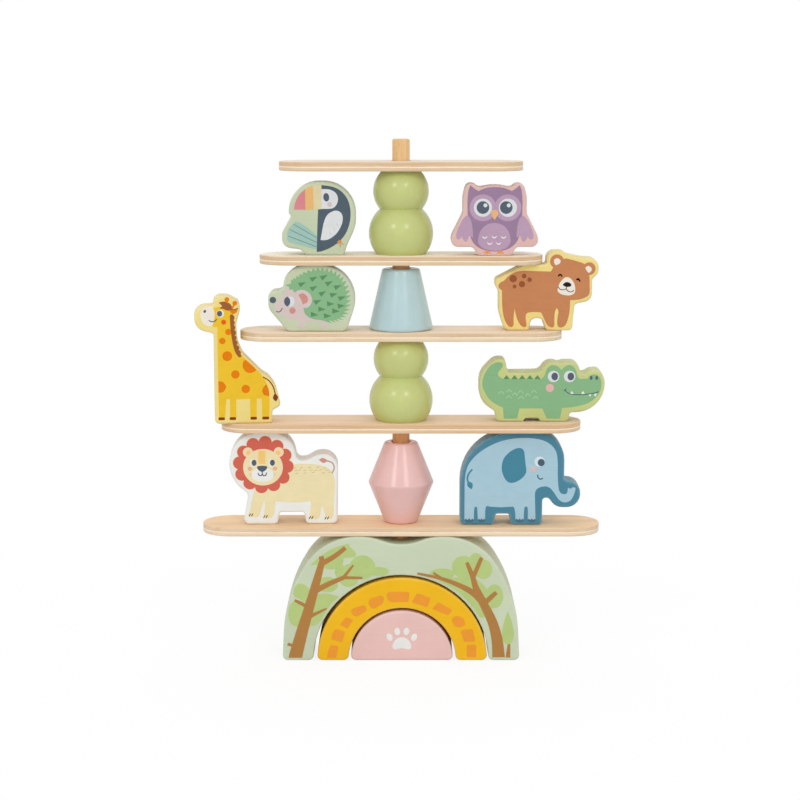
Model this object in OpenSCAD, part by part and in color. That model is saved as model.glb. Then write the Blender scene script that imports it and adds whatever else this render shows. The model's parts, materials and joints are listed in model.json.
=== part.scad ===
// Wooden animal stacking game: a nested arch base carries a dowel, on which planks and turned beads
// are threaded in turn, and flat animal blocks stand on the planks or carry the next one.
// Millimetres. +Z is up, -Y is the printed front, and the origin is on the floor under the dowel.

/* [Planks] */
// Length of the lowest plank
plank_1_l = 280; // [270:1:296]
// How much shorter each plank is than the one below it
plank_step = 28; // [24:1:30]
// Width of every plank, which is also the diameter of its round ends
plank_w = 42; // [36:1:50]
// Thickness of the plywood
plank_t = 6.5; // [5:0.5:9]
// Radius of the sanded edges of a plank
plank_edge = 0.8; // [0.4:0.1:1.5]

/* [Dowel] */
// Diameter of the dowel
dowel_d = 12; // [10:0.5:13]
// How far the dowel stands above the top plank
dowel_rise = 15; // [8:1:30]
// Radius at the rim of the dowel's ends
dowel_rim = 1.2; // [0.5:0.1:2]
// Depth of the dowel's socket below the dip of the base
socket_depth = 17; // [12:0.5:18]
// Least wood left under the socket
socket_web = 3; // [2:0.5:6]
// Clearance all round the dowel in its socket
socket_gap = 0.1; // [0.05:0.05:0.2]
// Clearance all round the dowel in the planks and beads
bore_gap = 0.75; // [0.4:0.05:1]

/* [Beads] */
// Height of the double ball bead
double_bead_h = 57.5; // [53:0.5:62]
// Diameter of the double bead's lower ball
low_ball_d = 44.5; // [41:0.5:47]
// Diameter of the double bead's upper ball
high_ball_d = 38.4; // [36:0.2:41]
// Height of the lower ball's middle above the bead's flat foot
low_ball_z = 14.4; // [13:0.2:17]
// Distance of the upper ball's middle below the bead's flat top
high_ball_drop = 14.1; // [11.5:0.1:15]
// Height of the two-way cone bead
bicone_h = 57.5; // [50:0.5:62]
// Widest diameter of the two-way cone bead
bicone_mid_d = 46; // [38:0.5:50]
// Diameter of the two-way cone bead's ends
bicone_end_d = 23; // [20:0.5:30]
// Height of the cone bead
cone_h = 42.5; // [38:0.5:44]
// Diameter of the cone bead's foot
cone_foot_d = 45.2; // [38:0.2:48]
// Diameter of the cone bead's top
cone_top_d = 26; // [23:0.2:32]
// Radius of the turned rims of the cone beads
bead_rim = 2; // [1:0.1:2.5]
// Chamfer at both mouths of a bead's bore
bore_chamfer = 0.8; // [0.4:0.1:1.2]

/* [Base] */
// Depth of the three nested base pieces from front to back
base_depth = 45; // [40:1:52]
// Width of the outer arch at the floor
arch_w = 167; // [160:1:176]
// Height of the outer arch's two humps
hump_h = 89; // [86:0.5:95]
// Depth of the dip between the humps
dip_depth = 5.2; // [4:0.1:6]
// Half the width of the dip
dip_half = 28; // [24:0.5:30]
// Radius of the outer arch's shoulders
shoulder_r = 42; // [36:0.5:43]
// How far inside the outer arch's side its shoulder line meets the top
shoulder_in = 29; // [27:0.5:30]
// Radius of the outer arch's leaning flanks
flank_r = 95; // [80:1:96]
// How far the flank leans in at its bend
flank_in = 2.4; // [1.5:0.1:3]
// Drop from the humps to the bend of the flank
flank_drop = 42.5; // [40:0.5:45]
// Radius of the inner half disc
half_disc_r = 36; // [33:0.5:38]
// Width of the middle arch's band
middle_wall = 22; // [20:0.5:23]
// Gap between the nested base pieces
arch_gap = 1.8; // [1.2:0.1:2.2]
// Radius at the corners of the feet
foot_r = 3.6; // [2.4:0.1:4.4]
// How far the middle arch stands to the right of the outer arch's middle
middle_arch_x = 0.8; // [-0.8:0.1:0.8]
// How far the half disc stands to the right of the middle arch's middle
half_disc_x = -0.2; // [-0.5:0.1:0.5]

/* [Blocks] */
// Thickness of the animal blocks
animal_t = 20; // [16:0.5:24]
// Radius of the sanded edges of the animals and the base pieces
soft_edge = 1.4; // [0.8:0.1:1.4]
// Height of the lion and the elephant, which carry the second plank
tall_animal_h = 66.3; // [64:0.1:72]
// Height of the hedgehog and of the bear's back, which carry the fourth plank
low_animal_h = 45.8; // [45:0.1:52]
// Play between a carrying animal and the plank above it
carry_gap = 0.2; // [0.1:0.05:0.4]

/* [Lion and elephant] */
// Width of the lion
lion_w = 76.2; // [70:0.1:82]
// Distance of the lion's middle from the end of its plank
lion_inset = 60; // [50:0.5:66]
// How far behind the dowel's plane the lion stands
lion_y = -0.5; // [-8:0.5:8]
// How far the lion is turned towards the middle
lion_turn = 2; // [0:1:5]
// Width of the elephant
elephant_w = 84.2; // [78:0.1:88]
// Distance of the elephant's middle from the end of its plank
elephant_inset = 58; // [50:0.5:64]
// How far behind the dowel's plane the elephant stands
elephant_y = -3; // [-8:0.5:8]

/* [Giraffe and crocodile] */
// Width of the giraffe
giraffe_w = 59.1; // [54:0.1:64]
// Height of the giraffe
giraffe_h = 89; // [84:0.1:94]
// How far behind the dowel's plane the giraffe stands
giraffe_y = -7.5; // [-9:0.5:9]
// How far the giraffe is turned towards the middle
giraffe_turn = 6; // [0:1:12]
// Clear space between the back of the giraffe's head and the end of the third plank
giraffe_gap = 0.5; // [0.4:0.1:2]
// Width of the crocodile
crocodile_w = 87.4; // [80:0.1:94]
// Height of the crocodile
crocodile_h = 44.2; // [40:0.1:48]
// Distance of the crocodile's middle from the end of its plank
crocodile_inset = 24; // [20:0.5:28]
// How far behind the dowel's plane the crocodile stands
crocodile_y = 0; // [-8:0.5:8]

/* [Hedgehog and bear] */
// Width of the hedgehog
hedgehog_w = 59.5; // [54:0.1:64]
// Distance of the hedgehog's middle from the end of its plank
hedgehog_inset = 51; // [44:0.5:54]
// How far behind the dowel's plane the hedgehog stands
hedgehog_y = -6; // [-8:0.5:8]
// Width of the bear
bear_w = 71.4; // [66:0.1:74]
// How far behind the dowel's plane the bear stands
bear_y = 0.5; // [-8:0.5:8]
// Clear space between the bear's head and the end of the fourth plank
bear_gap = 2.5; // [1.5:0.1:3.5]

/* [Toucan and owl] */
// Width of the toucan
toucan_w = 50.5; // [46:0.1:54]
// Height of the toucan
toucan_h = 50.3; // [46:0.1:52]
// Distance of the toucan's middle from the end of its plank
toucan_inset = 42; // [34:0.5:44]
// How far behind the dowel's plane the toucan stands
toucan_y = -3; // [-8:0.5:8]
// Width of the owl
owl_w = 59.5; // [54:0.1:62]
// Height of the owl
owl_h = 49.3; // [46:0.1:52]
// Distance of the owl's middle from the end of its plank
owl_inset = 34; // [31:0.5:38]
// How far behind the dowel's plane the owl stands
owl_y = -8; // [-9:0.5:8]

/* [Hidden] */
$fn = 72;

// How far a drawn arc may stray from its true circle
arc_error = 0.06;
// Flats that make up the quarter round of a sanded edge
edge_steps = 2;
// Share of a side that the arcs at its two ends may fill
side_share = 0.998;
// Overshoot of a cut past the faces it opens
cut = 1;

// Nested base, from the inside out
middle_inner_r = half_disc_r + arch_gap;
middle_outer_r = middle_inner_r + middle_wall;
outer_inner_r = middle_outer_r + arch_gap;
dip_z = hump_h - dip_depth;
socket_z = max(dip_z - socket_depth, outer_inner_r + socket_web);

// The dip is two equal arcs on each side, which meet half way up
dip_r = (dip_half * dip_half + dip_depth * dip_depth) / (4 * dip_depth);
dip_reach = dip_r * tan(asin(dip_half / 2 / dip_r) / 2);

// Heights of the planks' undersides and of their decks, from the floor up
plank_1_z = hump_h;
deck_1 = plank_1_z + plank_t;
plank_2_z = deck_1 + tall_animal_h + carry_gap;
deck_2 = plank_2_z + plank_t;
plank_3_z = deck_2 + double_bead_h;
deck_3 = plank_3_z + plank_t;
plank_4_z = deck_3 + low_animal_h + carry_gap;
deck_4 = plank_4_z + plank_t;
plank_5_z = deck_4 + double_bead_h;
dowel_top = plank_5_z + plank_t + dowel_rise;

// Lengths of the planks
function plank_l(level) = plank_1_l - (level - 1) * plank_step;

// The bores run free on the dowel
bore_d = dowel_d + 2 * bore_gap;

// Shapes are drawn with corners [x, z, radius], counter-clockwise as seen from the front, and built from
// arcs [middle, radius, start angle, sweep]; an arc with a positive sweep bulges out

// The length of side that a corner's arc takes up
function flat(p) = [p[0], p[1]];
function half_angle(a, p, b) =
    let (u = flat(a) - flat(p), v = flat(b) - flat(p))
    acos(u * v / norm(u) / norm(v)) / 2;
function taken(a, p, b) = p[2] / tan(half_angle(a, p, b));

// Every corner's radius, eased where two arcs would overlap on one side
function eased(c) =
    let (
        n = len(c),
        t = [for (i = [0:n - 1]) taken(c[(i + n - 1) % n], c[i], c[(i + 1) % n])],
        s = [
            for (i = [0:n - 1])
                min(1, side_share * norm(flat(c[(i + 1) % n]) - flat(c[i])) / (t[i] + t[(i + 1) % n]))
        ]
    )
    [for (i = [0:n - 1]) c[i][2] * min(s[i], s[(i + n - 1) % n])];

// The arc of radius r that rounds the corner at p, between the corners before and after it
function corner_arc(a, p, b, r) =
    let (
        u = (a - p) / norm(a - p),
        v = (b - p) / norm(b - p),
        half = half_angle(a, p, b),
        middle = p + (u + v) / norm(u + v) * r / sin(half),
        start = p + u * r / tan(half) - middle,
        turn = cross(p - a, b - p) > 0 ? 1 : -1
    )
    [middle, r, atan2(start[1], start[0]), turn * (180 - 2 * half)];

function corner_arcs(c) =
    let (n = len(c), r = eased(c))
    [for (i = [0:n - 1]) corner_arc(flat(c[(i + n - 1) % n]), flat(c[i]), flat(c[(i + 1) % n]), r[i])];

// Points along an arc, which is moved in by inset
function arc_point(k, part, inset) =
    k[0] + (k[1] - sign(k[3]) * inset) * [cos(k[2] + k[3] * part), sin(k[2] + k[3] * part)];
function arc_steps(k) = max(1, ceil(abs(k[3]) / (2 * acos(1 - min(0.5, arc_error / k[1])))));

// Points round a closed shape; an arc leaves out its first point where the arc before it ends there
function follows(before, k) = norm(arc_point(before, 1, 0) - arc_point(k, 0, 0)) < arc_error / 2;
function loop(arcs, inset = 0) =
    let (n = len(arcs))
    [
        for (i = [0:n - 1])
            let (k = arcs[i], steps = arc_steps(k))
            for (j = [(follows(arcs[(i + n - 1) % n], k) ? 1 : 0):steps])
                arc_point(k, j / steps, inset)
    ];

// A half circle standing on the floor, and one cut out of the floor, both with rounded feet
function dome(r) =
    let (x = sqrt((r - foot_r) ^ 2 - foot_r ^ 2), rise = asin(foot_r / (r - foot_r)))
    [
        [[x, foot_r], foot_r, -90, 90 + rise],
        [[0, 0], r, rise, 180 - 2 * rise],
        [[-x, foot_r], foot_r, 180 - rise, 90 + rise]
    ];
function opening(r) =
    let (x = sqrt((r + foot_r) ^ 2 - foot_r ^ 2), rise = asin(foot_r / (r + foot_r)))
    [
        [[-x, foot_r], foot_r, -90, 90 - rise],
        [[0, 0], r, 180 - rise, 2 * rise - 180],
        [[x, foot_r], foot_r, 180 + rise, 90 - rise]
    ];

// A drawn outline stretched to a width and height; drawn_h is the drawn height that becomes h
function lowest(c, k) = min([for (p = c) p[k]]);
function highest(c, k) = max([for (p = c) p[k]]);
function width_scale(c, w) = w / (highest(c, 0) - lowest(c, 0));
function sized(c, w, h, drawn_h = 0) =
    let (sx = width_scale(c, w), sz = h / (drawn_h > 0 ? drawn_h : highest(c, 1)))
    [for (p = c) [p[0] * sx, p[1] * sz, p[2] * min(sx, sz)]];

// The outline followed by its mirror image across x = 0, for a shape that is the same on both sides
function mirrored(c) = concat(c, [for (i = [len(c) - 1:-1:0]) [-c[i][0], c[i][1], c[i][2]]]);

// Triangles that fill a flat loop of points p, cut off one corner at a time; left lists the points to come
function outside(a, b, c, q) =
    cross(b - a, q - a) < 0 || cross(c - b, q - b) < 0 || cross(a - c, q - c) < 0;
function can_cut(p, left, i) =
    let (n = len(left), j = left[(i + n - 1) % n], k = left[i % n], l = left[(i + 1) % n])
    cross(p[k] - p[j], p[l] - p[k]) > 0
        && len([for (m = left) if (m != j && m != k && m != l && !outside(p[j], p[k], p[l], p[m])) m]) == 0;
function next_cut(p, left, i) = can_cut(p, left, i) ? i % len(left) : next_cut(p, left, i + 1);
function filled(p, left, from = 0) =
    len(left) == 3 ? [left] :
    let (n = len(left), i = next_cut(p, left, from))
    concat(
        [[left[(i + n - 1) % n], left[i], left[(i + 1) % n]]],
        filled(p, [for (j = [0:n - 1]) if (j != i) left[j]], i + 1)
    );

// A flat block of a shape built from arcs, sanded to a quarter round along both faces
module block(arcs, t) {
    angles = [for (i = [0:edge_steps]) 90 * i / edge_steps];
    front = [for (a = angles) [soft_edge * (1 - cos(a)) - t / 2, soft_edge * (1 - sin(a))]];
    rings = concat(front, [for (i = [edge_steps:-1:0]) [-front[i][0], front[i][1]]]);
    loops = [for (ring = rings) loop(arcs, ring[1])];
    n = len(loops[0]);
    last = len(rings) - 1;
    points = [for (j = [0:last]) for (q = loops[j]) [q[0], rings[j][0], q[1]]];
    sides = [
        for (j = [0:last - 1])
            for (i = [0:n - 1])
                [j * n + i, j * n + (i + 1) % n, (j + 1) * n + (i + 1) % n, (j + 1) * n + i]
    ];
    face = filled(loops[0], [for (i = [0:n - 1]) i]);
    caps = [for (f = face) each [[f[2], f[1], f[0]], [for (i = f) last * n + i]]];
    polyhedron(points, concat(sides, caps));
}

// The base's outer arch, with the dowel's blind socket in its dip
outer_arch_side = [
    [arch_w / 2, 0, foot_r],
    [arch_w / 2 - flank_in, hump_h - flank_drop, flank_r],
    [arch_w / 2 - shoulder_in, hump_h, shoulder_r],
    [dip_half - dip_reach, hump_h, dip_r],
    [dip_reach, dip_z, dip_r]
];

module outer_arch() {
    color([0.78, 0.83, 0.73])
        difference() {
            block(concat(corner_arcs(mirrored(outer_arch_side)), opening(outer_inner_r)), base_depth);
            translate([0, 0, socket_z])
                cylinder(d = dowel_d + 2 * socket_gap, h = hump_h - socket_z);
        }
}

module middle_arch() {
    color([0.93, 0.72, 0.16])
        translate([middle_arch_x, 0, 0])
            block(concat(dome(middle_outer_r), opening(middle_inner_r)), base_depth);
}

module half_disc() {
    color([0.89, 0.75, 0.74])
        translate([middle_arch_x + half_disc_x, 0, 0])
            block(dome(half_disc_r), base_depth);
}

// The dowel stands on the floor of its socket
module dowel() {
    dowel_h = dowel_top - socket_z;
    rims = [[-dowel_d / 2, 0, dowel_rim], [dowel_d / 2, 0, dowel_rim],
        [dowel_d / 2, dowel_h, dowel_rim], [-dowel_d / 2, dowel_h, dowel_rim]];
    color([0.9, 0.76, 0.55])
        translate([0, 0, socket_z])
            turned(rims);
}

// A solid turned from the right half of a symmetrical outline
module turned(c) {
    half = [for (p = loop(corner_arcs(c))) if (p[0] > 0) p];
    rotate_extrude()
        polygon(concat([[0, half[0][1]]], half, [[0, half[len(half) - 1][1]]]));
}

// Profile across a plank, with sanded edges
function plank_profile(reach) =
    let (
        bottom = [[-plank_w / 2, 0, plank_edge], [plank_w / 2, 0, plank_edge]],
        top = [[plank_w / 2, plank_t, plank_edge], [-plank_w / 2, plank_t, plank_edge]]
    )
    [for (p = loop(corner_arcs(concat(bottom, top)))) if (p[0] > reach) p];

module plank(level, z) {
    straight = plank_l(level) - plank_w;
    color([0.9, 0.8, 0.66])
        translate([0, 0, z])
            difference() {
                union() {
                    rotate([90, 0, 90])
                        linear_extrude(straight, center = true)
                            polygon(plank_profile(-plank_w));
                    for (side = [-1, 1])
                        translate([side * straight / 2, 0, 0])
                            rotate([0, 0, -90 * side])
                                rotate_extrude(angle = 180)
                                    polygon(concat([[0, 0]], plank_profile(0), [[0, plank_t]]));
                }
                translate([0, 0, -cut])
                    cylinder(d = bore_d, h = plank_t + 2 * cut);
            }
}

// Cuts the dowel's bore, chamfered at both mouths, through a bead of height h
module bored(h) {
    difference() {
        children();
        translate([0, 0, -cut])
            cylinder(d = bore_d, h = h + 2 * cut);
        for (end = [0, 1])
            translate([0, 0, end * h])
                mirror([0, 0, end])
                    cylinder(d1 = bore_d + 2 * bore_chamfer, d2 = bore_d, h = bore_chamfer);
    }
}

module double_bead(z) {
    color([0.76, 0.78, 0.51])
        translate([0, 0, z])
            bored(double_bead_h)
                intersection() {
                    union() {
                        translate([0, 0, low_ball_z])
                            sphere(d = low_ball_d);
                        translate([0, 0, double_bead_h - high_ball_drop])
                            sphere(d = high_ball_d);
                    }
                    cylinder(d = 2 * low_ball_d, h = double_bead_h);
                }
}

module pink_bead() {
    profile = mirrored([
        [bicone_end_d / 2, 0, bead_rim],
        [bicone_mid_d / 2, bicone_h / 2, bead_rim],
        [bicone_end_d / 2, bicone_h, bead_rim]
    ]);
    color([0.87, 0.7, 0.69])
        translate([0, 0, deck_1])
            bored(bicone_h)
                turned(profile);
}

module blue_bead() {
    profile = mirrored([[cone_foot_d / 2, 0, bead_rim], [cone_top_d / 2, cone_h, bead_rim]]);
    color([0.73, 0.82, 0.84])
        translate([0, 0, deck_3])
            bored(cone_h)
                turned(profile);
}

// An animal block of a drawn shape
module animal(c) {
    block(corner_arcs(c), animal_t);
}

// An animal block standing at a place on a deck
module standing(x, y, deck, turn = 0) {
    translate([x, y, deck])
        rotate([0, 0, turn])
            children();
}

// Lion: two feet with a low gap, a round rump, a dip behind the head and a round mane
lion_outline = [
    [-31.3, 0, 4], [-6.8, 0, 3], [-5.6, 8.7, 1.8], [11.6, 8.7, 1.8], [13, 0, 3], [35.2, 0, 4],
    [35.7, 50.4, 10], [21, 50.4, 14], [14, 45.8, 10], [6.8, 45.8, 4.5],
    [4, 66.5, 18.5], [-40.5, 66.5, 23], [-40.5, 31.8, 23], [-27.3, 22.2, 5]
];

module lion() {
    color([0.94, 0.93, 0.92])
        standing(lion_inset - plank_l(1) / 2, lion_y, deck_1, lion_turn)
            animal(sized(lion_outline, lion_w, tall_animal_h));
}

// Elephant: two feet, a trunk that hangs clear and curls up at its tip, and a domed back
elephant_outline = [
    [-40.6, 0, 3.5], [-17, 0, 3], [-15.8, 8, 2], [-6, 8, 2], [-4.8, 0, 2.5], [17, 0, 3],
    [17, 19.4, 2.4], [21.3, 19.4, 2.4], [26.5, 12.6, 9], [43.6, 12.6, 9.6], [43.6, 31.6, 8.5],
    [32.2, 31.6, 2.5], [32.2, 66.5, 20], [-40.6, 66.5, 37]
];

module elephant() {
    color([0.29, 0.53, 0.62])
        standing(plank_l(1) / 2 - elephant_inset, elephant_y, deck_1)
            animal(sized(elephant_outline, elephant_w, tall_animal_h));
}

// Giraffe: one broad foot, a tail bump, a sloping back, a straight neck and a long muzzle
giraffe_crown = [-0.9, 79, 5];
giraffe_outline = [
    [-19, 0, 3], [20.4, 0, 2], [20.9, 9.3, 2.5], [26.9, 12, 3.5], [23.6, 26, 14], [18.8, 32.6, 8],
    [14.2, 35.4, 6], [1.2, 48.7, 8], [-2.4, 57, 20], [-3.6, 70, 14], giraffe_crown, [-0.9, 85.4, 4.5],
    [-9.5, 89.6, 7], [-18.6, 89.6, 5], [-18.9, 83, 1.6], [-32.2, 82.6, 8], [-32.2, 66.6, 9],
    [-19, 63.6, 2.5]
];

// The back of the head clears the round end of the third plank, which is lifted past it
giraffe_back_x = giraffe_crown[0] * width_scale(giraffe_outline, giraffe_w);
giraffe_reach = plank_w / 2 + giraffe_gap + giraffe_back_x;
giraffe_x = (plank_w - plank_l(3)) / 2
    - (giraffe_reach + giraffe_y * sin(giraffe_turn)) / cos(giraffe_turn);

module giraffe() {
    color([0.94, 0.87, 0.55])
        standing(giraffe_x, giraffe_y, deck_2, giraffe_turn)
            animal(sized(giraffe_outline, giraffe_w, giraffe_h));
}

// Crocodile: low feet, a deep jaw, a nostril bump, two eye bumps, a flat back and a raised tail
crocodile_outline = [
    [-35.2, 0, 3.5], [-17.2, 0, 1.5], [-15, 2.4, 1], [-6.6, 2.4, 1], [-4.4, 0, 1.5], [14.8, 0, 3.5],
    [15.6, 6.6, 2.2], [39.6, 6.6, 20], [39.8, 29.5, 8], [36.6, 36.6, 4.5], [30, 36.2, 6],
    [25.8, 33.8, 4.5], [22.9, 33.8, 2.2], [21, 41.9, 5.5], [11.2, 41.9, 5], [7.7, 40.9, 3],
    [4.4, 41.9, 5], [-0.6, 41.9, 6.5], [-5.8, 35, 6], [-28.1, 34.6, 2.4], [-29.6, 44.2, 3.4],
    [-37.2, 44.2, 8], [-47.6, 33.6, 15], [-47.6, 15, 14], [-36.8, 7.4, 2.6]
];

module crocodile() {
    color([0.78, 0.8, 0.49])
        standing(plank_l(2) / 2 - crocodile_inset, crocodile_y, deck_2)
            animal(sized(crocodile_outline, crocodile_w, crocodile_h));
}

// Hedgehog: a flat foot, a round back and a pointed, turned-up nose
hedgehog_outline = [
    [-17, 0, 5], [23.2, 0, 5], [29.2, 17.5, 20], [28.9, 46, 24], [-11, 46, 18], [-18.9, 38, 8],
    [-20.4, 28.9, 4.5], [-30.3, 27.9, 4.5], [-30.3, 16, 9]
];

module hedgehog() {
    color([0.78, 0.83, 0.67])
        standing(hedgehog_inset - plank_l(3) / 2, hedgehog_y, deck_3)
            animal(sized(hedgehog_outline, hedgehog_w, low_animal_h));
}

// Bear: two feet, a hanging chin, a tilted head with two ears, a flat back and a tail nub
bear_neck = [-0.9, 46, 1.6];
bear_outline = [
    [-29.8, 0, 5], [-12.8, 0, 2.2], [-11.4, 8.6, 4], [-3.8, 8.6, 4], [-0.8, 0, 2.5], [17, 0, 2.5],
    [18.6, 18.6, 3], [30.5, 20.8, 6], [30.6, 36, 3], [35, 40, 5], [35, 50.4, 6.5], [24, 50.6, 10],
    [12.5, 53, 3.5], [10.6, 55.3, 3.5], [-0.9, 55.3, 6], bear_neck, [-16.5, 46, 14],
    [-36.2, 35.8, 3], [-36.4, 31, 4], [-33.8, 27, 5], [-33.8, 13, 20]
];

// The head clears the end of the fourth plank, which lies on the back
bear_x = plank_l(4) / 2 + bear_gap - bear_neck[0] * width_scale(bear_outline, bear_w);

module bear() {
    color([0.93, 0.86, 0.51])
        standing(bear_x, bear_y, deck_3)
            animal(sized(bear_outline, bear_w, low_animal_h, bear_neck[1]));
}

// Toucan: a round body and head, a notch under the beak and a broad tail
toucan_outline = [
    [-9.4, 0, 2.5], [16.9, 0, 2.2], [18.6, 6, 6], [24.8, 19.5, 18], [24.8, 50.3, 22],
    [-20.9, 50.3, 20], [-20.9, 28.6, 2], [-19.4, 26.8, 1.2], [-25.7, 15.5, 8], [-25.7, 5.4, 6.5],
    [-12.8, 4, 5]
];

module toucan() {
    color([0.77, 0.82, 0.65])
        standing(toucan_inset - plank_l(4) / 2, toucan_y, deck_4)
            animal(sized(toucan_outline, toucan_w, toucan_h));
}

// Owl: a narrow foot, drooping wings, straight cheeks and two ear tufts, the same on both sides
owl_outline = mirrored([
    [11.2, 0, 3.5], [15, 6, 3], [29.75, 6, 4.8], [29.75, 13, 10], [21.8, 29, 6], [21.8, 40, 16],
    [19.6, 49.3, 3.8], [14.4, 49.3, 4], [11, 46.6, 4], [3, 48, 12]
]);

module owl() {
    color([0.89, 0.75, 0.71])
        standing(plank_l(4) / 2 - owl_inset, owl_y, deck_4)
            animal(sized(owl_outline, owl_w, owl_h));
}

outer_arch();
middle_arch();
half_disc();
dowel();
plank(1, plank_1_z);  // plank_1
plank(2, plank_2_z);  // plank_2
plank(3, plank_3_z);  // plank_3
plank(4, plank_4_z);  // plank_4
plank(5, plank_5_z);  // plank_5
pink_bead();
double_bead(deck_2);  // lower_green_bead
blue_bead();
double_bead(deck_4);  // upper_green_bead
lion();
elephant();
giraffe();
crocodile();
hedgehog();
bear();
toucan();
owl();
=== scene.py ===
"""Looks of a wooden animal stacking game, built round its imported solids.

Paint, lacquer, plywood and beech are node materials on the solids. The figures on the blocks and on the
base are thin plates of ink, drawn in millimetres on each block's own face. A white studio and a camera
complete the scene.
"""

import json
import math

import bmesh
import bpy
from mathutils import Matrix, Vector

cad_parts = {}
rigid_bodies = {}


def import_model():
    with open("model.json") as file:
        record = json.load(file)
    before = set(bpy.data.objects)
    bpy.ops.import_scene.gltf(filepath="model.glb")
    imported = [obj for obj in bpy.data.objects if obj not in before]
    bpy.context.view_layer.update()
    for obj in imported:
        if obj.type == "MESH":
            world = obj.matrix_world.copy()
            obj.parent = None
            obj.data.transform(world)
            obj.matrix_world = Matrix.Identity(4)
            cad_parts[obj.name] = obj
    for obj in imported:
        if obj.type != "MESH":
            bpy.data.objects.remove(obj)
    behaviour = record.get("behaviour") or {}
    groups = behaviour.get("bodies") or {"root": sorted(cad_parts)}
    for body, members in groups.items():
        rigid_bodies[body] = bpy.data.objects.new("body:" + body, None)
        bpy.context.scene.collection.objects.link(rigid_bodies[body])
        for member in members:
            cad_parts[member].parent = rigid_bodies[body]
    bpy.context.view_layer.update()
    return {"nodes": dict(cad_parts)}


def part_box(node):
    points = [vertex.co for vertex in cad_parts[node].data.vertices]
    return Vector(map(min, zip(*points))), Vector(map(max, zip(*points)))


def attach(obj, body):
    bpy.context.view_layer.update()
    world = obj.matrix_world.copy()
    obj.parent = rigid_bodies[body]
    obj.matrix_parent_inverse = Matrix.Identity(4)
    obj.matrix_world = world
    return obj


for leftover in list(bpy.data.objects):
    bpy.data.objects.remove(leftover)

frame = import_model()
nodes = frame["nodes"]

MM = 0.001
SHARP = "sharp"


def new_object(name, data):
    """An object of its own, linked into the scene."""
    thing = bpy.data.objects.new(name, data)
    bpy.context.scene.collection.objects.link(thing)
    return thing


# Colours, as sRGB from 0 to 255; paints and lacquers go by the record's slots

PAINTS = {
    "sage_paint": (197, 208, 180),
    "yellow_paint": (238, 184, 22),
    "rose_paint": (228, 190, 184),
    "lion_block": (230, 232, 228),
    "elephant_block": (69, 128, 151),
    "giraffe_block": (233, 212, 129),
    "crocodile_block": (192, 199, 129),
    "hedgehog_block": (192, 201, 171),
    "bear_block": (232, 211, 130),
    "toucan_block": (191, 201, 170),
    "owl_block": (216, 178, 170),
}
LACQUERS = {
    "pink_lacquer": (228, 185, 181),
    "green_lacquer": (191, 198, 124),
    "blue_lacquer": (178, 203, 206),
}
INKS = {
    "white": (230, 231, 227),
    "cool_white": (213, 216, 216),
    "ice": (212, 224, 232),
    "ivory": (232, 225, 212),
    "slate": (84, 93, 107),
    "storm": (70, 96, 109),
    "black": (24, 20, 20),
    "blush": (222, 174, 168),
    "peach": (226, 174, 148),
    "dusk": (205, 186, 184),
    "cream": (232, 219, 174),
    "pale_cream": (238, 214, 176),
    "mane_red": (206, 101, 84),
    "amber": (240, 197, 116),
    "straw": (205, 190, 135),
    "tail_rose": (204, 142, 124),
    "tail_brown": (190, 148, 140),
    "sky": (164, 196, 210),
    "teal": (69, 131, 153),
    "deep_teal": (72, 106, 130),
    "gold": (231, 188, 44),
    "orange": (223, 122, 2),
    "coral": (226, 90, 32),
    "brown": (152, 90, 49),
    "dark_brown": (131, 57, 12),
    "leaf": (133, 178, 132),
    "deep_leaf": (92, 140, 95),
    "quill": (88, 140, 95),
    "mint": (169, 208, 162),
    "pale_rose": (208, 191, 188),
    "salmon": (201, 141, 130),
    "tan": (193, 129, 85),
    "cocoa": (146, 83, 49),
    "feather": (96, 136, 136),
    "down": (186, 194, 202),
    "navy": (79, 93, 104),
    "beak_pink": (210, 132, 137),
    "beak_orange": (227, 179, 113),
    "beak_cream": (217, 204, 163),
    "aqua": (156, 190, 179),
    "plum": (150, 123, 151),
    "lilac": (181, 151, 176),
    "beak_gold": (226, 175, 120),
    "claw_orange": (222, 146, 74),
    "claw_gold": (206, 144, 72),
    "trunk": (174, 125, 68),
    "foliage": (179, 199, 127),
    "cobble": (234, 153, 52),
}


def linear(rgb, factor=1.0):
    """The linear colour of an sRGB triple, made lighter or darker by a factor."""
    parts = []
    for value in rgb:
        share = value / 255
        part = share / 12.92 if share <= 0.04045 else ((share + 0.055) / 1.055) ** 2.4
        parts.append(min(1.0, part * factor))
    return (*parts, 1.0)


# Node materials


def feed(tree, socket, value):
    """Links a socket to another one, or fills it with a plain value."""
    if isinstance(value, bpy.types.NodeSocket):
        tree.links.new(value, socket)
    else:
        socket.default_value = value


def add_node(tree, kind, inputs=None, **settings):
    """A new node in a tree, with its settings made and its inputs fed."""
    node = tree.nodes.new(kind)
    for key, value in settings.items():
        setattr(node, key, value)
    for key, value in (inputs or {}).items():
        feed(tree, node.inputs[key], value)
    return node


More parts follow.
